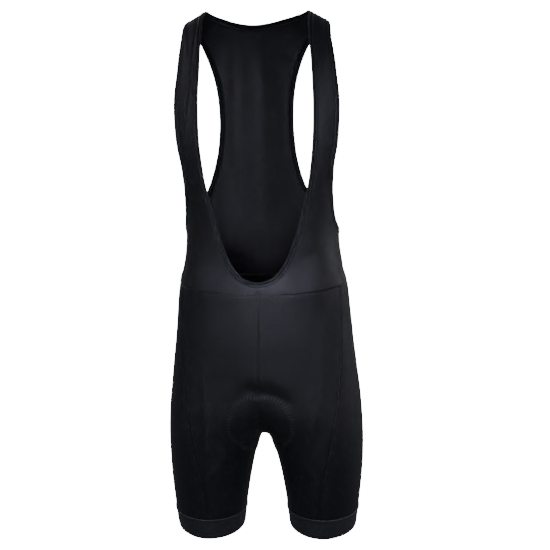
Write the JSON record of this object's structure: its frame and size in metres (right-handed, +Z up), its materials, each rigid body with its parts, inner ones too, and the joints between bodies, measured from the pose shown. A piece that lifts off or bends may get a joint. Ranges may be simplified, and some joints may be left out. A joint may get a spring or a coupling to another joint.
{
  "type": "cycling bib shorts",
  "caption": "Hollow cycling bib shorts in worn form: racing-cut bib with deep U neck, panelled short legs, gripper bands at the hems and a padded seat insert.",
  "frame": {"origin": "midway between the two shoulder straps, at the height of their undersides, where the wearer's shoulders carry the garment", "axes": "+Z up, -Y the front of the garment, +X the wearer's left"},
  "size_m": [0.3298, 0.2339, 0.8735],
  "materials": {
    "bib_knit": "smooth black stretch knit with a faint bluish sheen",
    "shorts_knit": "dense black compression knit, slightly shiny",
    "leg_band_elastic": "matt black elastic band",
    "binding_elastic": "folded black elastic binding",
    "pad": "brushed black fleece over foam"
  },
  "bodies": {
    "root": {"bib_front_left": "bib_knit", "bib_front_right": "bib_knit", "bib_back": "bib_knit", "shorts_front_left": "shorts_knit", "shorts_front_right": "shorts_knit", "shorts_side_left": "shorts_knit", "shorts_side_right": "shorts_knit", "shorts_back_left": "shorts_knit", "shorts_back_right": "shorts_knit", "leg_band_left": "leg_band_elastic", "leg_band_right": "leg_band_elastic", "neck_binding": "binding_elastic", "armhole_binding_left": "binding_elastic", "armhole_binding_right": "binding_elastic", "seat_pad": "pad"}
  },
  "joints": []
}
